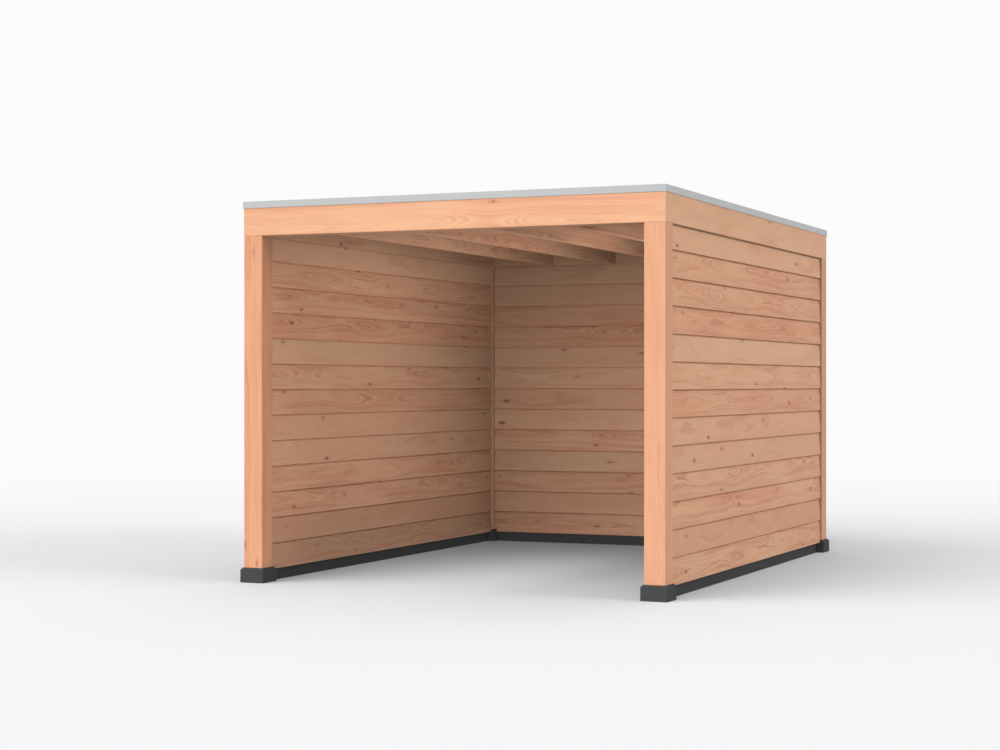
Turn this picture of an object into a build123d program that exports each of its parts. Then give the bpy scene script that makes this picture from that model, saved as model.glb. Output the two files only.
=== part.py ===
from build123d import *
import os

# Open-fronted timber garden canopy. All sizes in millimetres.
# Frame: origin on the ground at the centre of the footprint, +X to the right
# when facing the open front, +Y from the open front towards the rear wall,
# +Z up.

os.makedirs("parts", exist_ok=True)

# ---- driving dimensions ---------------------------------------------------
WIDTH = 3000.0  # over the outer faces of the posts, left to right
DEPTH = 4000.0  # over the outer faces of the posts, front to rear

POST = 140.0  # square post
POST_ARRIS = 3.0  # chamfer on the post's long edges

FOOT_PROUD = 20.0  # footing block stands this far out from the post
FOOT_H = 100.0
FOOT_BEVEL = 15.0  # bevel round the top of the block
FOOT_ROUND = 6.0  # rounding of its upright edges

PLINTH_IN = 40.0  # plinth's outer face, in from the posts' outer face
PLINTH_T = 60.0
PLINTH_H = 80.0
PLINTH_ARRIS = 2.0

BEAM_BOTTOM = 2340.0  # headroom under the ring beam
BEAM_H = 227.0
BEAM_ARRIS = 2.0

JOIST_T = 60.0
JOIST_H = 150.0
JOIST_ARRIS = 2.0
JOIST_COUNT = 4

DECK_T = 18.0
SHEET_T = 3.0  # roofing sheet
SHEET_EDGE_IN = 8.0  # sheet's rim over the beams, in from their outer face

TRIM_PROUD = 5.0  # trim's face stands out from the beam
TRIM_FACE = 45.0  # height of the trim's face
TRIM_FLANGE = 66.0  # how far the top flange reaches in from the beam's face
TRIM_T = 2.0

BOARD_T = 28.0  # thick lower edge of a cladding board
BOARD_IN = 12.0  # boards' thick edge, in from the posts' face
SIDE_FRAME_T = 60.0
REAR_FRAME_T = 45.0
STUD = 45.0
SIDE_BAYS = 6
REAR_BAYS = 5

# ---- derived sizes ---------------------------------------------------------
X_OUT = WIDTH / 2  # posts' outer faces
Y_OUT = DEPTH / 2
X_IN = X_OUT - POST  # posts' inner faces
Y_IN = Y_OUT - POST
BEAM_TOP = BEAM_BOTTOM + BEAM_H
DECK_BOTTOM = BEAM_BOTTOM + JOIST_H
DECK_TOP = DECK_BOTTOM + DECK_T
TRIM_TOP = BEAM_TOP + SHEET_T + TRIM_T
FOOT = POST + 2 * FOOT_PROUD

CORNERS = {
    "front_left": (-1, -1),
    "front_right": (1, -1),
    "rear_left": (-1, 1),
    "rear_right": (1, 1),
}


def mitred_strip(side, out, inn):
    """Plan of one side of a mitred ring, from `out` mm outside the posts'
    outer faces to `inn` mm inside them."""
    xo, yo = X_OUT + out, Y_OUT + out
    xi, yi = X_OUT - inn, Y_OUT - inn
    return {
        "front": [(-xo, -yo), (xo, -yo), (xi, -yi), (-xi, -yi)],
        "rear": [(xo, yo), (-xo, yo), (-xi, yi), (xi, yi)],
        "left": [(-xo, yo), (-xo, -yo), (-xi, -yi), (-xi, yi)],
        "right": [(xo, -yo), (xo, yo), (xi, yi), (xi, -yi)],
    }[side]


def wall_outline(half):
    """Elevation of a wall between two posts: it stands on the plinth, and its
    lower corners are cut round the two footing blocks."""
    return [
        (-half + FOOT_PROUD, PLINTH_H),
        (half - FOOT_PROUD, PLINTH_H),
        (half - FOOT_PROUD, FOOT_H),
        (half, FOOT_H),
        (half, BEAM_BOTTOM),
        (-half, BEAM_BOTTOM),
        (-half, FOOT_H),
        (-half + FOOT_PROUD, FOOT_H),
    ]


# ---- footing blocks ---------------------------------------------------------
for corner, (sx, sy) in CORNERS.items():
    cx, cy = sx * (X_OUT - POST / 2), sy * (Y_OUT - POST / 2)
    with BuildPart() as foot:
        with BuildSketch(Plane.XY):
            with Locations((cx, cy)):
                Rectangle(FOOT, FOOT)
        extrude(amount=FOOT_H)
        chamfer(foot.faces().sort_by(Axis.Z)[-1].edges(), FOOT_BEVEL)
        fillet(foot.edges().filter_by(Axis.Z), FOOT_ROUND)
    foot.part.label = "foot_" + corner
    export_step(foot.part, "parts/foot_" + corner + ".step")

# ---- posts -------------------------------------------------------------------
for corner, (sx, sy) in CORNERS.items():
    cx, cy = sx * (X_OUT - POST / 2), sy * (Y_OUT - POST / 2)
    with BuildPart() as post:
        with BuildSketch(Plane.XY.offset(FOOT_H)):
            with Locations((cx, cy)):
                Rectangle(POST, POST)
        extrude(amount=BEAM_BOTTOM - FOOT_H)
        chamfer(post.edges().filter_by(Axis.Z), POST_ARRIS)
    post.part.label = "post_" + corner
    export_step(post.part, "parts/post_" + corner + ".step")

# ---- plinths -------------------------------------------------------------------
# Kerb strips on the ground between the footing blocks.
for side, sx in (("left", -1), ("right", 1)):
    with BuildPart() as plinth:
        with BuildSketch(Plane.XY):
            with Locations((sx * (X_OUT - PLINTH_IN - PLINTH_T / 2), 0)):
                Rectangle(PLINTH_T, 2 * (Y_IN - FOOT_PROUD))
        extrude(amount=PLINTH_H)
        chamfer(
            plinth.faces().sort_by(Axis.Z)[-1].edges().filter_by(Axis.Y), PLINTH_ARRIS
        )
    plinth.part.label = "plinth_" + side
    export_step(plinth.part, "parts/plinth_" + side + ".step")

with BuildPart() as plinth_rear:
    with BuildSketch(Plane.XY):
        with Locations((0, Y_OUT - PLINTH_IN - PLINTH_T / 2)):
            Rectangle(2 * (X_IN - FOOT_PROUD), PLINTH_T)
    extrude(amount=PLINTH_H)
    chamfer(
        plinth_rear.faces().sort_by(Axis.Z)[-1].edges().filter_by(Axis.X), PLINTH_ARRIS
    )
plinth_rear.part.label = "plinth_rear"
export_step(plinth_rear.part, "parts/plinth_rear.step")

# ---- ring beam -----------------------------------------------------------------
# Four beams as wide as the posts, mitred over them.
for side, along in (
    ("front", Axis.X),
    ("rear", Axis.X),
    ("left", Axis.Y),
    ("right", Axis.Y),
):
    with BuildPart() as beam:
        with BuildSketch(Plane.XY.offset(BEAM_BOTTOM)):
            with BuildLine():
                Polyline(*mitred_strip(side, 0, POST), close=True)
            make_face()
        extrude(amount=BEAM_H)
        chamfer(
            beam.faces().sort_by(Axis.Z)[0].edges().filter_by(along), BEAM_ARRIS
        )
    beam.part.label = "beam_" + side
    export_step(beam.part, "parts/beam_" + side + ".step")

# ---- roof joists ------------------------------------------------------------------
# Equal clear gaps between the side beams and the joists.
gap = (2 * X_IN - JOIST_COUNT * JOIST_T) / (JOIST_COUNT + 1)
joist_names = ("outer_left", "inner_left", "inner_right", "outer_right")
for i, place in enumerate(joist_names):
    jx = -X_IN + (i + 1) * gap + (i + 0.5) * JOIST_T
    with BuildPart() as joist:
        with BuildSketch(Plane.XY.offset(BEAM_BOTTOM)):
            with Locations((jx, 0)):
                Rectangle(JOIST_T, 2 * Y_IN)
        extrude(amount=JOIST_H)
        chamfer(
            joist.faces().sort_by(Axis.Z)[0].edges().filter_by(Axis.Y), JOIST_ARRIS
        )
    joist.part.label = "joist_" + place
    export_step(joist.part, "parts/joist_" + place + ".step")

# ---- roof deck and roofing sheet --------------------------------------------------
with BuildPart() as roof_deck:
    with BuildSketch(Plane.XY.offset(DECK_BOTTOM)):
        Rectangle(2 * X_IN, 2 * Y_IN)
    extrude(amount=DECK_T)
roof_deck.part.label = "roof_deck"
export_step(roof_deck.part, "parts/roof_deck.step")

# The sheet lies on the deck, turns up the beams' inner faces and over their
# tops, so it makes a shallow dish with a rim.
with BuildPart() as roof_membrane:
    with BuildSketch(Plane.XY.offset(DECK_TOP)):
        Rectangle(2 * X_IN, 2 * Y_IN)
    extrude(amount=BEAM_TOP + SHEET_T - DECK_TOP)
    with BuildSketch(Plane.XY.offset(BEAM_TOP)):
        Rectangle(2 * (X_OUT - SHEET_EDGE_IN), 2 * (Y_OUT - SHEET_EDGE_IN))
    extrude(amount=SHEET_T)
    with BuildSketch(Plane.XY.offset(DECK_TOP + SHEET_T)):
        Rectangle(2 * (X_IN - SHEET_T), 2 * (Y_IN - SHEET_T))
    extrude(amount=BEAM_TOP - DECK_TOP, mode=Mode.SUBTRACT)
roof_membrane.part.label = "roof_membrane"
export_step(roof_membrane.part, "parts/roof_membrane.step")

# ---- roof edge trim ------------------------------------------------------------------
# Bent strip: a flange clamped on the sheet's rim, an upright face standing out
# from the beam, and a small return at its foot.
for side in ("front", "rear", "left", "right"):
    with BuildPart() as trim:
        with BuildSketch(Plane.XY.offset(TRIM_TOP - TRIM_T)):
            with BuildLine():
                Polyline(*mitred_strip(side, TRIM_PROUD, TRIM_FLANGE), close=True)
            make_face()
        extrude(amount=TRIM_T)
        with BuildSketch(Plane.XY.offset(TRIM_TOP - TRIM_FACE)):
            with BuildLine():
                Polyline(
                    *mitred_strip(side, TRIM_PROUD, TRIM_T - TRIM_PROUD), close=True
                )
            make_face()
        extrude(amount=TRIM_FACE)
        with BuildSketch(Plane.XY.offset(TRIM_TOP - TRIM_FACE)):
            with BuildLine():
                Polyline(*mitred_strip(side, TRIM_PROUD, 0), close=True)
            make_face()
        extrude(amount=TRIM_T)
    trim.part.label = "trim_" + side
    export_step(trim.part, "parts/trim_" + side + ".step")

# ---- side walls ------------------------------------------------------------------------
# A framed core with a skin of boards on each face. The core stands over the
# plinth; the skins stop short of the posts' faces.
bay_y = (2 * Y_IN - (SIDE_BAYS + 1) * STUD) / SIDE_BAYS
bay_h = BEAM_BOTTOM - PLINTH_H - 2 * STUD
bay_z = (BEAM_BOTTOM + PLINTH_H) / 2
for side, sx in (("left", -1), ("right", 1)):
    core_x = sx * (X_OUT - PLINTH_IN)
    with BuildPart() as wall_frame:
        with BuildSketch(Plane.YZ.offset(core_x)):
            with BuildLine():
                Polyline(*wall_outline(Y_IN), close=True)
            make_face()
            for k in range(SIDE_BAYS):
                y = -Y_IN + STUD + bay_y / 2 + k * (bay_y + STUD)
                with Locations((y, bay_z)):
                    Rectangle(bay_y, bay_h, mode=Mode.SUBTRACT)
        extrude(amount=-sx * SIDE_FRAME_T)
    wall_frame.part.label = "wall_frame_" + side
    export_step(wall_frame.part, "parts/wall_frame_" + side + ".step")

    with BuildPart() as outer_skin:
        with BuildSketch(Plane.YZ.offset(core_x)):
            with BuildLine():
                Polyline(*wall_outline(Y_IN), close=True)
            make_face()
        extrude(amount=sx * BOARD_T)
    outer_skin.part.label = "cladding_" + side + "_outer"
    export_step(outer_skin.part, "parts/cladding_" + side + "_outer.step")

    with BuildPart() as inner_skin:
        with BuildSketch(Plane.YZ.offset(core_x - sx * SIDE_FRAME_T)):
            with BuildLine():
                Polyline(*wall_outline(Y_IN), close=True)
            make_face()
        extrude(amount=-sx * BOARD_T)
    inner_skin.part.label = "cladding_" + side + "_inner"
    export_step(inner_skin.part, "parts/cladding_" + side + "_inner.step")

# ---- rear wall --------------------------------------------------------------------------
# Same build as the side walls, on a thinner core.
bay_x = (2 * X_IN - (REAR_BAYS + 1) * STUD) / REAR_BAYS
core_y = Y_OUT - PLINTH_IN
with BuildPart() as wall_frame_rear:
    with BuildSketch(Plane.XZ.offset(-core_y)):
        with BuildLine():
            Polyline(*wall_outline(X_IN), close=True)
        make_face()
        for k in range(REAR_BAYS):
            x = -X_IN + STUD + bay_x / 2 + k * (bay_x + STUD)
            with Locations((x, bay_z)):
                Rectangle(bay_x, bay_h, mode=Mode.SUBTRACT)
    extrude(amount=REAR_FRAME_T)
wall_frame_rear.part.label = "wall_frame_rear"
export_step(wall_frame_rear.part, "parts/wall_frame_rear.step")

with BuildPart() as cladding_rear_outer:
    with BuildSketch(Plane.XZ.offset(-core_y)):
        with BuildLine():
            Polyline(*wall_outline(X_IN), close=True)
        make_face()
    extrude(amount=-BOARD_T)
cladding_rear_outer.part.label = "cladding_rear_outer"
export_step(cladding_rear_outer.part, "parts/cladding_rear_outer.step")

with BuildPart() as cladding_rear_inner:
    with BuildSketch(Plane.XZ.offset(-core_y + REAR_FRAME_T)):
        with BuildLine():
            Polyline(*wall_outline(X_IN), close=True)
        make_face()
    extrude(amount=BOARD_T)
cladding_rear_inner.part.label = "cladding_rear_inner"
export_step(cladding_rear_inner.part, "parts/cladding_rear_inner.step")
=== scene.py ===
import math
import random

import bmesh
import bpy
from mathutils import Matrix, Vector


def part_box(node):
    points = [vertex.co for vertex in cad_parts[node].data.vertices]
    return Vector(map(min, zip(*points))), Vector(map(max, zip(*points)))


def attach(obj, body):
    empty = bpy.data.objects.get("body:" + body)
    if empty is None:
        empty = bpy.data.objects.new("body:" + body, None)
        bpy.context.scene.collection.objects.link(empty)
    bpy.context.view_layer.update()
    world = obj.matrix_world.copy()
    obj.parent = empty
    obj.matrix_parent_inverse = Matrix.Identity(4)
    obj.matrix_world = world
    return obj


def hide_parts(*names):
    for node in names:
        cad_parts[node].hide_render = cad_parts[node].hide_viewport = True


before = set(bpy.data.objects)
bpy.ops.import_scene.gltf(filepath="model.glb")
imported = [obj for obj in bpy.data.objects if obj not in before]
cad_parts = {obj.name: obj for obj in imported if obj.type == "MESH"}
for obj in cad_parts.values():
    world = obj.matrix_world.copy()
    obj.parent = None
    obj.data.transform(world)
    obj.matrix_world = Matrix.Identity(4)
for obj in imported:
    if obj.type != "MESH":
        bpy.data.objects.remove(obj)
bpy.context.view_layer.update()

# Open-fronted timber garden canopy. Metres. Origin on the ground at the centre
# of the footprint, +X right when facing the open front, +Y to the rear, +Z up.

# ---- sizes shared with the frame (metres) ---------------------------------
X_OUT, Y_OUT = 1.500, 2.000      # outer faces of the posts
POST = 0.140
X_IN, Y_IN = X_OUT - POST, Y_OUT - POST
WALL_FOOT = 0.080                # top of the plinth, foot of the boards
HEAD = 2.340                     # underside of the ring beam
FOOT_TOP = 0.100
FOOT_PROUD = 0.020
PITCH = 0.175                    # cladding boards, centre to centre
THICK, THIN = 0.028, 0.018       # a board's lower edge and its face at the next one
GAP_H, GAP_D = 0.008, 0.005      # shadow channel under each board's lip
JOIST_H = 0.150
DECK_T = 0.018


# ---- small helpers for node trees ------------------------------------------
class Tree:
    """Short calls for building a shader or group tree."""

    def __init__(self, nt):
        self.nt = nt
        self.x = -2600

    def node(self, kind, **props):
        n = self.nt.nodes.new(kind)
        self.x += 26
        n.location = (self.x, 0)
        for k, v in props.items():
            setattr(n, k, v)
        return n

    def put(self, sock, value):
        if hasattr(value, "is_output") or isinstance(value, bpy.types.NodeSocket):
            self.nt.links.new(value, sock)
        elif value is not None:
            sock.default_value = value

    def math(self, op, a, b=None, c=None, clamp=False):
        n = self.node("ShaderNodeMath", operation=op, use_clamp=clamp)
        self.put(n.inputs[0], a)
        if b is not None:
            self.put(n.inputs[1], b)
        if c is not None:
            self.put(n.inputs[2], c)
        return n.outputs[0]

    def vec(self, x, y, z):
        n = self.node("ShaderNodeCombineXYZ")
        for s, v in zip(n.inputs, (x, y, z)):
            self.put(s, v)
        return n.outputs[0]

    def sep(self, v):
        n = self.node("ShaderNodeSeparateXYZ")
        self.put(n.inputs[0], v)
        return n.outputs

    def vmul(self, v, k):
        n = self.node("ShaderNodeVectorMath", operation="MULTIPLY")
        self.put(n.inputs[0], v)
        n.inputs[1].default_value = k
        return n.outputs[0]

    def vadd(self, v, k):
        n = self.node("ShaderNodeVectorMath", operation="ADD")
        self.put(n.inputs[0], v)
        self.put(n.inputs[1], k)
        return n.outputs[0]

    def noise(self, vector, scale=1.0, detail=2.0, rough=0.5, dims="3D", w=None, distort=0.0):
        n = self.node("ShaderNodeTexNoise", noise_dimensions=dims)
        if dims != "1D":
            self.put(n.inputs["Vector"], vector)
        if w is not None:
            self.put(n.inputs["W"], w)
        n.inputs["Scale"].default_value = scale
        n.inputs["Detail"].default_value = detail
        n.inputs["Roughness"].default_value = rough
        n.inputs["Distortion"].default_value = distort
        return n

    def smooth(self, value, lo, hi, a=0.0, b=1.0):
        n = self.node("ShaderNodeMapRange", interpolation_type="SMOOTHSTEP", clamp=True)
        self.put(n.inputs[0], value)
        self.put(n.inputs[1], lo)
        self.put(n.inputs[2], hi)
        self.put(n.inputs[3], a)
        self.put(n.inputs[4], b)
        return n.outputs[0]

    def lin(self, value, lo, hi, a, b):
        n = self.node("ShaderNodeMapRange", interpolation_type="LINEAR", clamp=True)
        self.put(n.inputs[0], value)
        self.put(n.inputs[1], lo)
        self.put(n.inputs[2], hi)
        self.put(n.inputs[3], a)
        self.put(n.inputs[4], b)
        return n.outputs[0]

    def mix(self, fac, a, b, kind="MIX"):
        n = self.node("ShaderNodeMix", data_type="RGBA", blend_type=kind, clamp_factor=True)
        self.put(n.inputs[0], fac)
        self.put(n.inputs[6], a)
        self.put(n.inputs[7], b)
        return n.outputs[2]


def rgb(r, g, b):
    return (r, g, b, 1.0)


# ---- the wood: annual rings in a log's own coordinates -----------------------
def make_wood_group():
    g = bpy.data.node_groups.new("log_wood", "ShaderNodeTree")
    itf = g.interface
    for name, kind, dv in (
        ("P", "NodeSocketVector", None),
        ("Shade", "NodeSocketFloat", 0.5),
        ("Red", "NodeSocketFloat", 0.5),
        ("Figure", "NodeSocketFloat", 0.5),
        ("Ring", "NodeSocketFloat", 0.009),
    ):
        s = itf.new_socket(name, in_out="INPUT", socket_type=kind)
        if dv is not None:
            s.default_value = dv
    for name, kind in (
        ("Color", "NodeSocketColor"),
        ("Roughness", "NodeSocketFloat"),
        ("Height", "NodeSocketFloat"),
    ):
        itf.new_socket(name, in_out="OUTPUT", socket_type=kind)
    t = Tree(g)
    gi = t.node("NodeGroupInput")
    go = t.node("NodeGroupOutput")
    P, shade, red, figure, ring = gi.outputs[:5]
    s, y, z = t.sep(P)

    # the pith wanders along the log
    w1 = t.noise(None, dims="1D", w=t.math("MULTIPLY", s, 0.85), detail=1.0)
    w1x, w1y, w1z = t.sep(w1.outputs["Color"])
    w2 = t.noise(None, dims="1D", w=t.math("MULTIPLY_ADD", s, 1.9, 17.0), detail=1.5)
    w2x, w2y, w2z = t.sep(w2.outputs["Color"])
    wy = t.math("ADD", t.math("MULTIPLY_ADD", w1x, 0.070, -0.035),
                t.math("MULTIPLY_ADD", w2x, 0.018, -0.009))
    wz = t.math("ADD", t.math("MULTIPLY_ADD", w1y, 0.064, -0.032),
                t.math("MULTIPLY_ADD", w2y, 0.026, -0.013))
    y2 = t.math("ADD", y, wy)
    z2 = t.math("ADD", z, wz)
    r0 = t.math("SQRT", t.math("ADD", t.math("MULTIPLY", y2, y2), t.math("MULTIPLY", z2, z2)))

    # knots grow out from the pith, and are cut longer along the grain than across
    theta = t.math("ARCTAN2", y2, z2)
    kvec = t.vec(t.math("MULTIPLY", s, 0.42), t.math("MULTIPLY", theta, r0), 0.0)
    vor = t.node("ShaderNodeTexVoronoi", voronoi_dimensions="2D", feature="F1")
    KS = 3.4
    t.put(vor.inputs["Vector"], kvec)
    vor.inputs["Scale"].default_value = KS
    vor.inputs["Randomness"].default_value = 1.0
    kdist0 = t.math("MULTIPLY", vor.outputs["Distance"], 1.0 / KS)
    kr, kg, kb = t.sep(vor.outputs["Color"])
    here = t.math("GREATER_THAN", kr, 0.58)
    wob = t.noise(t.vmul(P, (60.0, 60.0, 60.0)), detail=1.0)
    kdist = t.math("MULTIPLY_ADD", wob.outputs["Fac"], 0.005, t.math("SUBTRACT", kdist0, 0.0025))
    krad = t.math("MULTIPLY_ADD", t.math("MULTIPLY", kg, kg), 0.0058, 0.0042)
    krad = t.math("MULTIPLY", krad, t.smooth(r0, 0.01, 0.08, 0.5, 1.0))   # they taper to the pith
    core = t.math("MULTIPLY", here, t.smooth(kdist, krad, t.math("MULTIPLY", krad, 0.70)))
    rim = t.math("MULTIPLY", here, t.smooth(kdist, t.math("MULTIPLY", krad, 1.45), krad))
    halo = t.math("MULTIPLY", here, t.smooth(kdist0, 0.034, 0.004))
    bulge = t.math("MULTIPLY", t.math("MULTIPLY", halo, halo), 0.012)

    # uneven growth
    d1 = t.noise(t.vmul(P, (1.5, 11.0, 11.0)), detail=2.0, rough=0.55)
    d2 = t.noise(t.vmul(P, (5.5, 42.0, 42.0)), detail=1.5)
    r1 = t.math("ADD", r0, t.math("MULTIPLY_ADD", d1.outputs["Fac"], 0.021, -0.0105))
    r1 = t.math("ADD", r1, t.math("MULTIPLY_ADD", d2.outputs["Fac"], 0.0050, -0.0025))
    r1 = t.math("ADD", r1, bulge)
    q0 = t.math("DIVIDE", r1, ring)
    wid = t.noise(None, dims="1D", w=t.math("MULTIPLY", q0, 0.37), detail=1.0)
    q = t.math("ADD", q0, t.math("MULTIPLY_ADD", wid.outputs["Fac"], 2.4, -1.2))
    f = t.math("FRACT", q)
    late = t.math("MULTIPLY", t.smooth(f, 0.30, 0.90), t.smooth(f, 1.0, 0.93))
    idx = t.math("FLOOR", q)
    wn = t.node("ShaderNodeTexWhiteNoise", noise_dimensions="1D")
    t.put(wn.inputs["W"], idx)
    per_ring = t.math("MULTIPLY_ADD", wn.outputs["Value"], 0.75, 0.25)
    patch = t.noise(t.vmul(P, (1.7, 9.0, 9.0)), detail=2.0)
    patchy = t.smooth(patch.outputs["Fac"], 0.38, 0.60, 0.12, 1.0)
    line = t.math("MULTIPLY", t.math("MULTIPLY", late, per_ring), patchy)

    # slow colour changes from ring to ring and along the board
    broad = t.noise(None, dims="1D", w=t.math("MULTIPLY_ADD", q, 0.16, 5.0), detail=2.0)
    broad2 = t.noise(t.vmul(P, (1.1, 6.0, 6.0)), detail=2.5)
    band = t.math("ADD", t.math("MULTIPLY_ADD", broad.outputs["Fac"], 1.5, -0.75),
                  t.math("MULTIPLY_ADD", broad2.outputs["Fac"], 1.5, -0.75))

    # fibres and resin streaks
    fib = t.noise(t.vmul(P, (13.0, 620.0, 620.0)), detail=3.0, rough=0.6)
    streak = t.noise(t.vmul(P, (2.4, 75.0, 75.0)), detail=3.0, rough=0.6)
    fine = t.math("ADD", t.math("MULTIPLY_ADD", fib.outputs["Fac"], 0.5, -0.25),
                  t.math("MULTIPLY_ADD", streak.outputs["Fac"], 0.7, -0.35))

    pale = rgb(0.625, 0.360, 0.221)
    warm = rgb(0.603, 0.294, 0.176)
    tan = rgb(0.440, 0.165, 0.092)
    rednote = t.math("MULTIPLY_ADD", band, t.math("MULTIPLY_ADD", figure, 0.55, 0.25), red, clamp=True)
    col = t.mix(rednote, pale, warm)
    # thick latewood in a strongly figured board glows red
    heart = t.math("MULTIPLY", t.smooth(r1, 0.036, 0.016), t.smooth(patch.outputs["Fac"], 0.30, 0.60, 0.25, 0.95))
    glow = t.math("MULTIPLY", t.smooth(band, 0.02, 0.42), 0.58)
    glow = t.math("MULTIPLY", t.math("MAXIMUM", glow, heart), figure)
    col = t.mix(glow, col, rgb(0.545, 0.232, 0.138))
    amount = t.math("MULTIPLY", line, t.math("MULTIPLY_ADD", figure, 1.02, 0.12), clamp=True)
    col = t.mix(amount, col, tan)
    lit = t.math("ADD", t.math("MULTIPLY_ADD", shade, 0.26, 0.87), t.math("MULTIPLY", fine, 0.24))
    grey = t.node("ShaderNodeCombineColor")
    for i in range(3):
        t.put(grey.inputs[i], lit)
    col = t.mix(1.0, col, grey.outputs[0], "MULTIPLY")
    # knots: a reddish surround, a dark rim, a brown heart
    col = t.mix(t.math("MULTIPLY", t.math("MULTIPLY", halo, halo), 0.50), col, rgb(0.400, 0.170, 0.095))
    col = t.mix(t.math("MULTIPLY", rim, 0.52), col, rgb(0.210, 0.072, 0.035))
    col = t.mix(t.math("MULTIPLY", core, 0.80), col, rgb(0.260, 0.098, 0.048))

    rough = t.math("MULTIPLY_ADD", fib.outputs["Fac"], 0.16, 0.50)
    rough = t.math("SUBTRACT", rough, t.math("MULTIPLY", line, 0.07))
    h = t.math("ADD", t.math("MULTIPLY", line, 0.45), t.math("MULTIPLY", fib.outputs["Fac"], 0.55))
    h = t.math("SUBTRACT", h, t.math("MULTIPLY", rim, 0.5))
    t.put(go.inputs[0], col)
    t.put(go.inputs[1], rough)
    t.put(go.inputs[2], h)
    return g


WOOD = make_wood_group()


def new_material(name, color):
    m = bpy.data.materials.new(name)
    m.use_nodes = True
    m.diffuse_color = color
    m.node_tree.nodes.clear()
    t = Tree(m.node_tree)
    out = t.node("ShaderNodeOutputMaterial")
    bsdf = t.node("ShaderNodeBsdfPrincipled")
    m.node_tree.links.new(bsdf.outputs[0], out.inputs[0])
    out.location = (900, 0)
    bsdf.location = (600, 0)
    return m, t, bsdf


def finish_wood(t, bsdf, P, shade, red, figure, ring, bump=0.30, tint=None):
    g = t.node("ShaderNodeGroup", node_tree=WOOD)
    t.put(g.inputs["P"], P)
    t.put(g.inputs["Shade"], shade)
    t.put(g.inputs["Red"], red)
    t.put(g.inputs["Figure"], figure)
    g.inputs["Ring"].default_value = ring
    col = g.outputs["Color"]
    if tint:
        col = t.mix(1.0, col, rgb(*tint), "MULTIPLY")
    t.put(bsdf.inputs["Base Color"], col)
    t.put(bsdf.inputs["Roughness"], g.outputs["Roughness"])
    b = t.node("ShaderNodeBump")
    b.inputs["Strength"].default_value = bump
    b.inputs["Distance"].default_value = 0.0006
    t.put(b.inputs["Height"], g.outputs["Height"])
    t.put(bsdf.inputs["Normal"], b.outputs[0])
    bsdf.inputs["Specular IOR Level"].default_value = 0.30
    return g


def board_material(name, ring):
    """Wood for joined boards: each carries its own log coordinates and tone."""
    m, t, bsdf = new_material(name, rgb(0.80, 0.46, 0.27))
    a = t.node("ShaderNodeAttribute", attribute_type="GEOMETRY", attribute_name="grain")
    b = t.node("ShaderNodeAttribute", attribute_type="GEOMETRY", attribute_name="tone")
    tx, ty, tz = t.sep(b.outputs["Vector"])
    finish_wood(t, bsdf, a.outputs["Vector"], tx, ty, tz, ring)
    # painted shade: the shadow channel under each lip is given a darker, redder colour, standing in for the shade and
    # the reddish light bounced between the boards in the gap
    c = t.node("ShaderNodeAttribute", attribute_type="GEOMETRY", attribute_name="channel_painted_shade")
    face = bsdf.inputs["Base Color"].links[0].from_socket
    col = t.mix(c.outputs["Fac"], face, t.mix(1.0, face, rgb(1.06, 0.88, 0.78), "MULTIPLY"))
    t.put(bsdf.inputs["Base Color"], col)
    return m


def timber_material(name, axis, centre, seed, shade, red, figure, ring=0.0075, pith=None, tint=None):
    """Wood for one timber of the frame, in the object's own coordinates.
    axis is the way the grain runs."""
    rnd = random.Random(seed)
    m, t, bsdf = new_material(name, rgb(0.80, 0.46, 0.27))
    tc = t.node("ShaderNodeTexCoord")
    ox, oy, oz = t.sep(tc.outputs["Object"])
    pu, pv = pith if pith else (rnd.uniform(-0.09, 0.09), rnd.uniform(0.02, 0.10))
    cx, cy, cz = centre
    shift = rnd.uniform(5.0, 60.0)
    if axis == "Z":
        P = t.vec(t.math("ADD", oz, shift), t.math("ADD", ox, pu - cx), t.math("ADD", oy, pv - cy))
    elif axis == "X":
        P = t.vec(t.math("ADD", ox, shift), t.math("ADD", oz, pu - cz), t.math("ADD", oy, pv - cy))
    else:
        P = t.vec(t.math("ADD", oy, shift), t.math("ADD", oz, pu - cz), t.math("ADD", ox, pv - cx))
    finish_wood(t, bsdf, P, shade, red, figure, ring, tint=tint)
    return m


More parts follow.
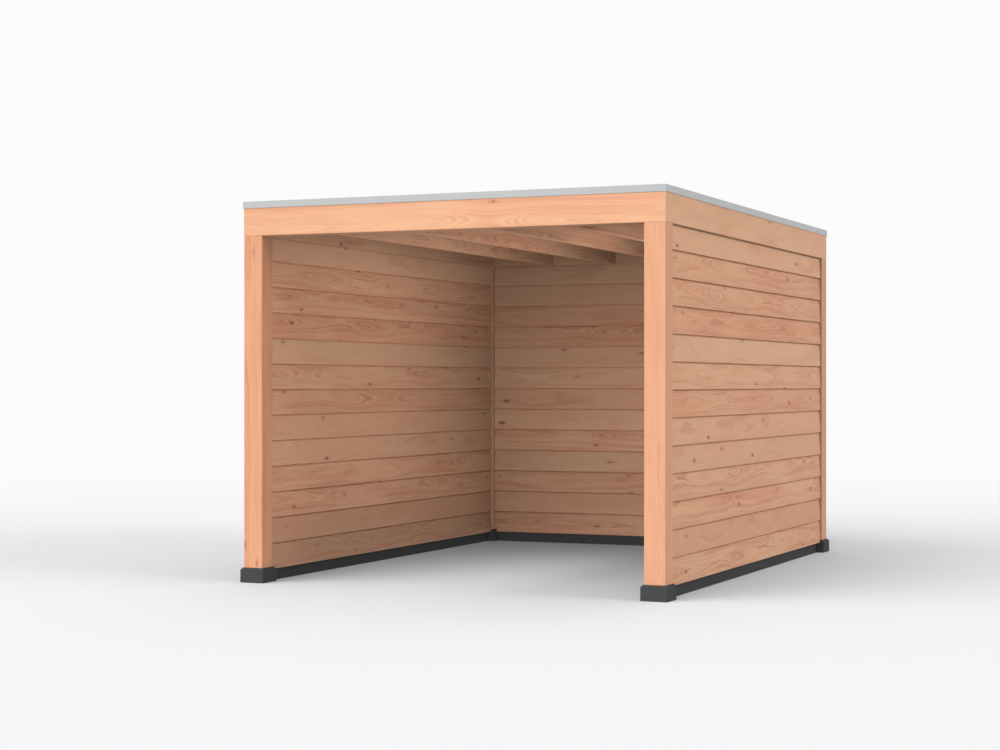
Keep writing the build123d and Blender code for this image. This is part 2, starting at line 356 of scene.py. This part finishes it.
def concrete_material(name, tint, seed):
    """Cast anthracite concrete: fine sand, small pores, faint cloudy patches."""
    m, t, bsdf = new_material(name, rgb(*tint))
    tc = t.node("ShaderNodeTexCoord")
    P = t.vadd(tc.outputs["Object"], (seed * 3.7, seed * 1.9, seed * 2.3))
    cloud = t.noise(P, scale=7.0, detail=4.0, rough=0.6)
    sand = t.noise(P, scale=900.0, detail=2.0, rough=0.7)
    por = t.node("ShaderNodeTexVoronoi", voronoi_dimensions="3D", feature="F1")
    t.put(por.inputs["Vector"], P)
    por.inputs["Scale"].default_value = 130.0
    pr, pg, pb = t.sep(por.outputs["Color"])
    pore = t.math("MULTIPLY", t.smooth(por.outputs["Distance"], 0.26, 0.12),
                  t.math("GREATER_THAN", pr, 0.80))
    lit = t.math("ADD", t.math("MULTIPLY_ADD", cloud.outputs["Fac"], 0.34, 0.83),
                 t.math("MULTIPLY_ADD", sand.outputs["Fac"], 0.34, -0.17))
    grey = t.node("ShaderNodeCombineColor")
    for i in range(3):
        t.put(grey.inputs[i], lit)
    col = t.mix(1.0, rgb(*tint), grey.outputs[0], "MULTIPLY")
    col = t.mix(t.math("MULTIPLY", pore, 0.6), col, rgb(tint[0] * 0.4, tint[1] * 0.4, tint[2] * 0.4))
    t.put(bsdf.inputs["Base Color"], col)
    t.put(bsdf.inputs["Roughness"], t.math("MULTIPLY_ADD", cloud.outputs["Fac"], 0.16, 0.70))
    bsdf.inputs["Specular IOR Level"].default_value = 0.25
    h = t.math("SUBTRACT", t.math("MULTIPLY", sand.outputs["Fac"], 0.5), pore)
    b = t.node("ShaderNodeBump")
    b.inputs["Strength"].default_value = 0.35
    b.inputs["Distance"].default_value = 0.0010
    t.put(b.inputs["Height"], h)
    t.put(bsdf.inputs["Normal"], b.outputs[0])
    return m


def trim_material(name, along, tone):
    """Satin aluminium strip with faint extrusion lines along its length."""
    m, t, bsdf = new_material(name, rgb(0.56, 0.57, 0.58))
    tc = t.node("ShaderNodeTexCoord")
    k = (3.0, 900.0, 900.0) if along == "X" else (900.0, 3.0, 900.0)
    lines = t.noise(t.vmul(tc.outputs["Object"], k), detail=3.0, rough=0.6)
    dull = t.noise(tc.outputs["Object"], scale=5.0, detail=3.0)
    lit = t.math("ADD", t.math("MULTIPLY_ADD", lines.outputs["Fac"], 0.10, 0.95),
                 t.math("MULTIPLY_ADD", dull.outputs["Fac"], 0.10, -0.05))
    grey = t.node("ShaderNodeCombineColor")
    for i in range(3):
        t.put(grey.inputs[i], lit)
    # tone sets the strip's lightness, which carries painted light for its side
    t.put(bsdf.inputs["Base Color"],
          t.mix(1.0, rgb(tone, tone * 1.008, tone * 1.016), grey.outputs[0], "MULTIPLY"))
    bsdf.inputs["Metallic"].default_value = 0.65
    t.put(bsdf.inputs["Roughness"], t.math("MULTIPLY_ADD", dull.outputs["Fac"], 0.15, 0.42))
    b = t.node("ShaderNodeBump")
    b.inputs["Strength"].default_value = 0.12
    b.inputs["Distance"].default_value = 0.0004
    t.put(b.inputs["Height"], lines.outputs["Fac"])
    t.put(bsdf.inputs["Normal"], b.outputs[0])
    return m


def sheet_material(name):
    """Dark roofing sheet: fine pebbled skin, slack ripples, dust in the low places."""
    m, t, bsdf = new_material(name, rgb(0.05, 0.05, 0.052))
    tc = t.node("ShaderNodeTexCoord")
    P = tc.outputs["Object"]
    peb = t.noise(P, scale=520.0, detail=2.0, rough=0.6)
    rip = t.noise(t.vmul(P, (1.6, 2.4, 1.0)), detail=3.0, rough=0.5, distort=0.6)
    dust = t.noise(P, scale=1.4, detail=6.0, rough=0.65)
    x, y, z = t.sep(P)
    ax = t.math("ABSOLUTE", x)
    ay = t.math("ABSOLUTE", y)
    edge = t.math("MAXIMUM", t.smooth(ax, X_IN - 0.22, X_IN), t.smooth(ay, Y_IN - 0.22, Y_IN))
    dusty = t.math("MULTIPLY", t.smooth(dust.outputs["Fac"], 0.42, 0.70), 0.42)
    dusty = t.math("ADD", dusty, t.math("MULTIPLY", edge, 0.22), clamp=True)
    col = t.mix(dusty, rgb(0.040, 0.041, 0.044), rgb(0.110, 0.106, 0.098))
    t.put(bsdf.inputs["Base Color"], col)
    t.put(bsdf.inputs["Roughness"], t.math("MULTIPLY_ADD", dusty, 0.25, 0.62))
    bsdf.inputs["Specular IOR Level"].default_value = 0.35
    b1 = t.node("ShaderNodeBump")
    b1.inputs["Strength"].default_value = 0.5
    b1.inputs["Distance"].default_value = 0.010
    t.put(b1.inputs["Height"], rip.outputs["Fac"])
    b2 = t.node("ShaderNodeBump")
    b2.inputs["Strength"].default_value = 0.3
    b2.inputs["Distance"].default_value = 0.0008
    t.put(b2.inputs["Height"], peb.outputs["Fac"])
    t.put(b2.inputs["Normal"], b1.outputs[0])
    t.put(bsdf.inputs["Normal"], b2.outputs[0])
    return m


# ---- boards --------------------------------------------------------------------
def board_profile(cut):
    """Section of one cladding board, as (out from the core, up from its lower
    edge). A tongue at the top tucks into a rebate behind the lip of the board
    above. cut is where the topmost board is sawn off under the beam."""
    slope = (THICK - THIN) / PITCH
    pts = []
    r = 0.0028
    for k in range(5):  # rounded lower outer arris
        a = -math.pi / 2 + k * (math.pi / 2) / 4
        pts.append((THICK - r + r * math.cos(a), r + r * math.sin(a)))
    top = cut if cut else PITCH + 0.017
    edge = (cut if cut else PITCH) - GAP_H
    face = THICK - slope * edge
    pts.append((face + slope * 0.0010, edge - 0.0010))
    pts.append((face - 0.0010, edge))
    pts.append((face - GAP_D, edge))
    pts.append((face - GAP_D, top))
    pts.append((0.0006, top))
    pts.append((0.0006, 0.020))
    pts.append((THIN - GAP_D + 0.0012, 0.020))
    pts.append((THIN - GAP_D + 0.0012, 0.0009))
    pts.append((THIN - GAP_D + 0.0021, 0.0))
    return pts


def add_prism(bm, profile, length, steps, place, wave):
    """Runs a closed section along a length. place(along, out, up) gives the
    point in the canopy's frame; wave(along) lifts the lower lip a little."""
    n = len(profile)
    rings = []
    for i in range(steps + 1):
        a = -length / 2 + length * i / steps
        ring = []
        for (o, u) in profile:
            du = wave(a) * max(0.0, 1.0 - u / 0.12)
            ring.append(bm.verts.new(place(a, o, u + du)))
        rings.append(ring)
    faces = []
    for i in range(steps):
        for j in range(n):
            k = (j + 1) % n
            faces.append(bm.faces.new((rings[i][j], rings[i][k], rings[i + 1][k], rings[i + 1][j])))
    faces.append(bm.faces.new(rings[0][::-1]))
    faces.append(bm.faces.new(rings[-1]))
    return faces


def mesh_object(name, bm, material):
    bmesh.ops.recalc_face_normals(bm, faces=bm.faces)
    me = bpy.data.meshes.new(name)
    bm.to_mesh(me)
    bm.free()
    me.materials.append(material)
    ob = bpy.data.objects.new(name, me)
    bpy.context.scene.collection.objects.link(ob)
    return ob


def smooth_sharp(me, angle=30.0):
    for p in me.polygons:
        p.use_smooth = True
    me.set_sharp_from_angle(angle=math.radians(angle))


def board_attributes(me):
    """The three attributes the board material reads, made before any is filled."""
    for name, kind in (("grain", "FLOAT_VECTOR"), ("tone", "FLOAT_VECTOR"), ("channel_painted_shade", "FLOAT")):
        me.attributes.new(name, kind, "POINT")
    return me.attributes["grain"], me.attributes["tone"], me.attributes["channel_painted_shade"]


# One look a board, from the top board down: how strongly figured, how red.
STRONG = (0.20, 0.85, 0.80, 1.00, 0.10, 0.60, 0.80, 0.25, 0.20, 0.85, 1.00, 0.20, 0.80)
REDDER = (0.20, 0.55, 0.50, 0.80, 0.15, 0.25, 0.70, 0.35, 0.30, 0.40, 0.50, 0.70, 0.35)
LIGHTER = (0.95, 0.95, 0.88, 0.95, 0.85, 0.90, 0.85, 0.78, 0.72, 0.70, 0.70, 0.55, 0.62)
# painted light and shade: each board of the two inner skins is made lighter or darker, one by one, for the light that
# falls inside the canopy: darker towards the bottom, lighter at the top of the left skin and in the middle of the rear
# skin
INNER_PAINTED_LIGHT_AND_SHADE = {
    "cladding_left_inner": (0.50, 0.61, 0.39, 0.0, -0.13, -0.21, -0.34, -0.18, -0.14, 0.0, 0.0, -0.47, -1.0),
    "cladding_rear_inner": (-0.40, -0.19, 0.03, 0.0, 0.25, 0.37, 0.39, 0.40, 0.28, -0.32, -0.34, -0.45, -0.76),
}


def board_looks(count, seed, order=None):
    rnd = random.Random(seed)
    looks = []
    for i in range(count):
        k = i if order is None else order[i % len(order)]
        k %= len(STRONG)
        fig = STRONG[k]
        plain = fig < 0.4
        looks.append({
            "shift": rnd.uniform(4.0, 90.0),
            "way": rnd.choice((-1, 1)),
            "mid": 0.0875,
            "y0": rnd.uniform(-0.050, 0.005) if not plain else rnd.uniform(-0.03, 0.03),
            "z0": rnd.uniform(0.034, 0.052) if not plain else rnd.uniform(0.12, 0.22),
            "shade": min(1.0, max(0.0, LIGHTER[k] + rnd.uniform(-0.10, 0.10))),
            "red": min(1.0, max(0.0, REDDER[k] + rnd.uniform(-0.08, 0.08))),
            "figure": fig,
        })
    return looks


def make_skin(name, half, place, local, looks, material, seed):
    """One face of a wall: boards from the plinth up to the beam."""
    rnd = random.Random(seed)
    bm = bmesh.new()
    count = 13
    for i in range(count):
        k = count - 1 - i          # looks run from the top board down
        z0 = WALL_FOOT + i * PITCH
        cut = HEAD - z0 if i == count - 1 else None
        prof = board_profile(cut)
        ph = [rnd.uniform(0, 6.28) for _ in range(3)]
        am = [rnd.uniform(0.1, 0.35) / 1000 for _ in range(3)]

        def wave(a, ph=ph, am=am, i=i):
            if i == 0:
                return 0.0
            return sum(m * math.sin(a * f + p) for m, f, p in zip(am, (1.9, 4.3, 7.7), ph)) + sum(am)

        # a hair's gap at each post
        add_prism(bm, prof, 2 * half - 0.0024, 24,
                  lambda a, o, u, z0=z0: place(a, o, u + z0), wave)
    ob = mesh_object(name, bm, material)

    # the lowest board is cut round the two footing blocks
    cut_bm = bmesh.new()
    for sgn in (-1, 1):
        lo = half - FOOT_PROUD - 0.0015
        c = []
        for (a, o, z) in [(x, y, w) for x in (lo, half + 0.05) for y in (-0.02, 0.06) for w in (0.0, FOOT_TOP + 0.0015)]:
            c.append(cut_bm.verts.new(place(sgn * a, o, z)))
        for f in ((0, 1, 3, 2), (4, 6, 7, 5), (0, 4, 5, 1), (2, 3, 7, 6), (0, 2, 6, 4), (1, 5, 7, 3)):
            cut_bm.faces.new([c[j] for j in f])
    cutter = mesh_object(name + "_cutter", cut_bm, material)
    mod = ob.modifiers.new("notch", "BOOLEAN")
    mod.operation = "DIFFERENCE"
    mod.solver = "EXACT"
    mod.object = cutter
    dg = bpy.context.evaluated_depsgraph_get()
    me = bpy.data.meshes.new_from_object(ob.evaluated_get(dg))
    ob.modifiers.remove(mod)
    old = ob.data
    ob.data = me
    me.name = name
    bpy.data.meshes.remove(old)
    cm = cutter.data
    bpy.data.objects.remove(cutter)
    bpy.data.meshes.remove(cm)

    # a vertex belongs to the board whose island it is in
    bm = bmesh.new()
    bm.from_mesh(me)
    bm.verts.ensure_lookup_table()
    owner = {}
    for v in bm.verts:
        if v.index in owner:
            continue
        stack, isle = [v], []
        owner[v.index] = -1
        while stack:
            q = stack.pop()
            isle.append(q.index)
            for e in q.link_edges:
                w = e.other_vert(q)
                if w.index not in owner:
                    owner[w.index] = -1
                    stack.append(w)
        zmin = min(local(me.vertices[j].co)[2] for j in isle)
        i = min(count - 1, max(0, round((zmin - WALL_FOOT) / PITCH)))
        for j in isle:
            owner[j] = i
    bm.free()
    grain, tone, channel_painted_shade = board_attributes(me)
    rim = PITCH - GAP_H
    deep = THICK - (THICK - THIN) / PITCH * rim - GAP_D + 0.0015
    for v in me.vertices:
        i = owner[v.index]
        b = looks[count - 1 - i]
        a, o, z = local(v.co)
        u = z - (WALL_FOOT + i * PITCH)
        grain.data[v.index].vector = (b["shift"] + b["way"] * a, u - b["mid"] + b["y0"], o + b["z0"])
        tone.data[v.index].vector = (b["shade"], b["red"], b["figure"])
        # marks the shadow channel, where the board material paints shade
        channel_painted_shade.data[v.index].value = 1.0 if u > rim - 0.0005 and o < deep else 0.0
    smooth_sharp(me)
    return ob


CLADDING = board_material("cladding_wood", 0.0058)

# outer face of the core, and the way the boards face
SKINS = []
for side, sx in (("left", -1), ("right", 1)):
    for face, at, way in (("outer", X_OUT - 0.040, 1), ("inner", X_OUT - 0.100, -1)):
        SKINS.append(dict(
            name=f"{side}_wall_{face}_boards", node=f"cladding_{side}_{face}", half=Y_IN,
            place=lambda a, o, z, sx=sx, at=at, way=way: (sx * (at + way * o), a, z),
            local=lambda c, sx=sx, at=at, way=way: (c[1], (sx * c[0] - at) * way, c[2]),
        ))
for face, at, way in (("outer", Y_OUT - 0.040, 1), ("inner", Y_OUT - 0.085, -1)):
    SKINS.append(dict(
        name=f"rear_wall_{face}_boards", node=f"cladding_rear_{face}", half=X_IN,
        place=lambda a, o, z, at=at, way=way: (a, at + way * o, z),
        local=lambda c, at=at, way=way: (c[0], (c[1] - at) * way, c[2]),
    ))
ORDERS = {
    "cladding_right_outer": None,
    "cladding_left_inner": None,
    "cladding_left_outer": (5, 9, 0, 10, 4, 2, 7, 12, 1, 8, 3, 11, 6),
    "cladding_right_inner": (4, 10, 7, 1, 0, 12, 5, 3, 8, 2, 9, 6, 11),
    "cladding_rear_inner": (0, 4, 6, 3, 8, 5, 11, 7, 9, 4, 2, 11, 12),
    "cladding_rear_outer": (7, 2, 4, 10, 0, 6, 12, 8, 1, 5, 9, 11, 3),
}
SEEDS = {"cladding_right_outer": 11, "cladding_left_inner": 29, "cladding_left_outer": 37,
         "cladding_right_inner": 43, "cladding_rear_inner": 53, "cladding_rear_outer": 61}
for k in SKINS:
    looks = board_looks(13, SEEDS[k["node"]], ORDERS[k["node"]])
    # painted light and shade added to the inner skins' board lightness
    for b, painted_step in zip(looks, INNER_PAINTED_LIGHT_AND_SHADE.get(k["node"], ())):
        b["shade"] += painted_step
    ob = make_skin(k["name"], k["half"], k["place"], k["local"], looks, CLADDING, SEEDS[k["node"]] + 500)
    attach(ob, "root")
    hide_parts(k["node"])


# ---- roof deck: tongued boards across the joists --------------------------------------
def make_deck():
    rnd = random.Random(77)
    looks = []
    bm = bmesh.new()
    width, count = 0.120, 31
    owner_rows = []
    z0 = HEAD + JOIST_H
    v = 0.0030
    for i in range(count):
        yc = -Y_IN + width * (i + 0.5)
        w = width / 2
        lo = -w + (0.0004 if i else 0.0012)
        hi = w - (0.0004 if i < count - 1 else 0.0012)
        # V joint below, plain above
        prof = [(lo + v, 0.0), (hi - v, 0.0), (hi, v), (hi, DECK_T - 0.0006), (lo, DECK_T - 0.0006), (lo, v)]
        rings = []
        for x in (-X_IN + 0.0012, -0.7, 0.0, 0.7, X_IN - 0.0012):
            rings.append([bm.verts.new((x, yc + p[0], z0 + p[1])) for p in prof])
        for a, b in zip(rings, rings[1:]):
            for j in range(len(prof)):
                k = (j + 1) % len(prof)
                bm.faces.new((a[j], a[k], b[k], b[j]))
        bm.faces.new(rings[0][::-1])
        bm.faces.new(rings[-1])
        owner_rows.append(yc)
        looks.append({"shift": rnd.uniform(4, 90), "way": rnd.choice((-1, 1)),
                      "y0": rnd.uniform(-0.04, 0.04), "z0": rnd.uniform(0.03, 0.12),
                      "shade": rnd.uniform(0.30, 0.70), "red": rnd.uniform(0.20, 0.60),
                      "figure": rnd.choice((0.25, 0.5, 0.8))})
    bm.verts.index_update()
    per = 5 * 6
    ob = mesh_object("roof_deck_boards", bm, board_material("deck_wood", 0.0060))
    me = ob.data
    grain, tone, _ = board_attributes(me)
    for vx in me.vertices:
        i = vx.index // per
        b = looks[i]
        grain.data[vx.index].vector = (b["shift"] + b["way"] * vx.co.x,
                                       vx.co.y - owner_rows[i] + b["y0"],
                                       z0 - vx.co.z + b["z0"])
        tone.data[vx.index].vector = (b["shade"], b["red"], b["figure"])
    smooth_sharp(me)
    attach(ob, "root")
    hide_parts("roof_deck")
    return ob


make_deck()


# ---- materials for the frame's own pieces --------------------------------------------------
def dress(node, material):
    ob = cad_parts[node]
    if not ob.material_slots:
        ob.data.materials.append(material)
    for s in ob.material_slots:
        s.material = material


def middle(node):
    lo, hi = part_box(node)
    return tuple((a + b) / 2 for a, b in zip(lo, hi))


POST_LOOK = {
    "post_front_left": (0.62, 0.55, 0.50, (0.045, 0.085), (1.0, 0.91, 0.85)),
    "post_front_right": (0.62, 0.50, 0.22, (-0.030, 0.120), (1.0, 0.95, 0.89)),
    "post_rear_left": (0.50, 0.45, 0.40, (0.060, 0.070), (1.0, 0.98, 0.95)),
    "post_rear_right": (0.42, 0.40, 0.30, (-0.060, -0.080), (0.97, 0.97, 0.96)),
}
POST_SEED = {"post_front_left": 230, "post_front_right": 228, "post_rear_left": 214, "post_rear_right": 221}
for n, (sh, rd, fg, pith, tint) in POST_LOOK.items():
    dress(n, timber_material(n + "_wood", "Z", middle(n), POST_SEED[n], sh, rd, fg, 0.0075, pith, tint))
BEAM_LOOK = {
    "beam_front": ("X", 0.85, 0.30, 0.50, (0.075, 0.115), (1.0, 0.98, 0.93)),
    "beam_rear": ("X", 0.55, 0.35, 0.50, (-0.080, -0.110), (1.0, 1.0, 1.0)),
    "beam_left": ("Y", 0.60, 0.40, 0.45, (0.080, -0.100), (1.0, 1.0, 1.0)),
    "beam_right": ("Y", 0.85, 0.25, 0.40, (0.090, 0.110), (1.0, 1.02, 1.01)),
}
for n, (ax, sh, rd, fg, pith, tint) in BEAM_LOOK.items():
    dress(n, timber_material(n + "_wood", ax, middle(n), len(n) * 5 + ord(n[-1]), sh, rd, fg, 0.0085, pith, tint))
# painted light: each joist's lightness is set for how much light falls on its face, the outer left joist lightest and
# the right ones darkest
JOIST_PAINTED_LIGHT = {"joist_outer_left": 1.22, "joist_inner_left": 0.86, "joist_inner_right": 0.5, "joist_outer_right": 0.45}
for i, (n, sh) in enumerate(JOIST_PAINTED_LIGHT.items()):
    dress(n, timber_material(n + "_wood", "Y", middle(n), 300 + i * 13, sh, 0.40, 0.75, 0.0080,
                             (0.02 + 0.03 * i, 0.045)))
for n in ("wall_frame_left", "wall_frame_right", "wall_frame_rear"):
    dress(n, timber_material(n + "_wood", "Z", middle(n), 400 + len(n), 0.5, 0.2, 0.4, 0.0060, (0.03, 0.05)))
for i, n in enumerate(("foot_front_left", "foot_front_right", "foot_rear_left", "foot_rear_right")):
    dress(n, concrete_material(n + "_concrete", (0.047, 0.047, 0.048), i + 1))
for i, n in enumerate(("plinth_left", "plinth_right", "plinth_rear")):
    dress(n, concrete_material(n + "_concrete", (0.038, 0.039, 0.039), i + 9))
# painted light: the four trim strips are the same aluminium but each gets its own lightness for how light falls on its
# side, front darkest and right lightest
for n, ax, tone in (("trim_front", "X", 0.61), ("trim_rear", "X", 0.63), ("trim_left", "Y", 0.70), ("trim_right", "Y", 0.715)):
    dress(n, trim_material(n + "_aluminium", ax, tone))
dress("roof_membrane", sheet_material("roofing_sheet"))


# ---- floor, light and camera -----------------------------------------------------------------
def make_floor():
    m = bpy.data.materials.new("studio_floor")
    m.use_nodes = True
    nt = m.node_tree
    nt.nodes.clear()
    t = Tree(nt)
    out = t.node("ShaderNodeOutputMaterial")
    d = t.node("ShaderNodeBsdfDiffuse")
    d.inputs["Color"].default_value = rgb(0.70, 0.70, 0.70)
    e = t.node("ShaderNodeEmission")
    e.inputs["Color"].default_value = rgb(0.972, 0.969, 0.972)
    tc = t.node("ShaderNodeTexCoord")
    x, y, z = t.sep(tc.outputs["Object"])
    dist = t.math("SQRT", t.math("ADD", t.math("MULTIPLY", x, x), t.math("MULTIPLY", y, y)))
    fac = t.smooth(dist, 7.0, 18.0)
    mx = t.node("ShaderNodeMixShader")
    t.put(mx.inputs[0], fac)
    nt.links.new(d.outputs[0], mx.inputs[1])
    nt.links.new(e.outputs[0], mx.inputs[2])
    nt.links.new(mx.outputs[0], out.inputs[0])
    me = bpy.data.meshes.new("studio_floor")
    R = 400.0
    me.from_pydata([(-R, -R, -0.0005), (R, -R, -0.0005), (R, R, -0.0005), (-R, R, -0.0005)], [], [(0, 1, 2, 3)])
    me.materials.append(m)
    ob = bpy.data.objects.new("studio_floor", me)
    bpy.context.scene.collection.objects.link(ob)
    # the pale floor only catches shadows: light reaches the canopy from all round
    ob.visible_diffuse = False
    ob.visible_glossy = False
    ob.visible_shadow = False


make_floor()

world = bpy.data.worlds.new("studio")
bpy.context.scene.world = world
world.use_nodes = True
wt = Tree(world.node_tree)
world.node_tree.nodes.clear()
w_out = wt.node("ShaderNodeOutputWorld")
w_seen = wt.node("ShaderNodeBackground")
w_seen.inputs[0].default_value = rgb(0.974, 0.969, 0.974)
w_soft = wt.node("ShaderNodeBackground")
w_soft.inputs[0].default_value = rgb(1.0, 1.0, 1.0)
w_soft.inputs[1].default_value = 0.50
w_path = wt.node("ShaderNodeLightPath")
w_mix = wt.node("ShaderNodeMixShader")
world.node_tree.links.new(w_path.outputs["Is Camera Ray"], w_mix.inputs[0])
world.node_tree.links.new(w_soft.outputs[0], w_mix.inputs[1])
world.node_tree.links.new(w_seen.outputs[0], w_mix.inputs[2])
world.node_tree.links.new(w_mix.outputs[0], w_out.inputs[0])


def add_light(name, li, toward, place=(0.0, 0.0, 0.0)):
    ob = bpy.data.objects.new(name, li)
    ob.location = place
    ob.rotation_euler = Vector(toward).to_track_quat("Z", "Y").to_euler()
    ob.visible_camera = False
    ob.visible_glossy = False
    bpy.context.scene.collection.objects.link(ob)


def add_sun(name, azimuth, height, strength, angle, shadow=True):
    """Soft far light. azimuth in degrees from straight in front, to the right."""
    a, h = math.radians(azimuth), math.radians(height)
    li = bpy.data.lights.new(name, "SUN")
    li.energy = strength
    li.angle = math.radians(angle)
    li.use_shadow = shadow
    add_light(name, li, (math.sin(a) * math.cos(h), -math.cos(a) * math.cos(h), math.sin(h)))


def add_panel(name, place, power, size=0.8):
    """Square light panel under the roof, facing the left wall."""
    li = bpy.data.lights.new(name, "AREA")
    li.energy = power
    li.size = size
    add_light(name, li, (1.0, 0.0, 0.0), place)


add_sun("key", -30, 30, 2.66, 80)
add_sun("key_low", -30, 10, 0.67, 40)
add_sun("front", 10, 0, 0.213, 15)
add_sun("side", 90, 20, 1.415, 40)
add_sun("back", 180, 60, 0.39, 40)
add_sun("floor_fill", 0, 90, 0.317, 1, shadow=False)
add_panel("panel_front", (0.5, -1.2, 1.3), 6.1)
add_panel("panel_middle", (0.5, 0.0, 1.3), 5.8)
add_panel("panel_right", (1.15, 0.0, 1.9), 7.9)
add_panel("panel_right_front", (1.15, -1.2, 1.9), 2.7)
add_panel("panel_wall", (1.30, -0.6, 1.9), 1.6)
add_panel("panel_wall_rear", (1.30, 1.0, 1.9), 1.0)
# all light comes straight from the lamps, so pale wood doesn't tint its neighbours
bpy.context.scene.cycles.diffuse_bounces = 0

cam_data = bpy.data.cameras.new("camera")
cam_data.sensor_fit = "HORIZONTAL"
cam_data.sensor_width = 36.0
cam_data.lens = 36.0 * 1954.26 / 1000.0
cam_data.shift_x = 0.0
cam_data.shift_y = 0.0091
cam_data.clip_start = 0.1
cam_data.clip_end = 2000.0
cam = bpy.data.objects.new("camera", cam_data)
cam.location = (5.37719, -13.42116, 1.33984)
cam.rotation_euler = (math.radians(90), 0.0, math.radians(23.592))
bpy.context.scene.collection.objects.link(cam)
bpy.context.scene.camera = cam

bpy.context.scene.view_settings.view_transform = "Standard"
bpy.context.scene.view_settings.look = "None"
bpy.context.scene.view_settings.exposure = 0.0
bpy.context.scene.view_settings.gamma = 1.0
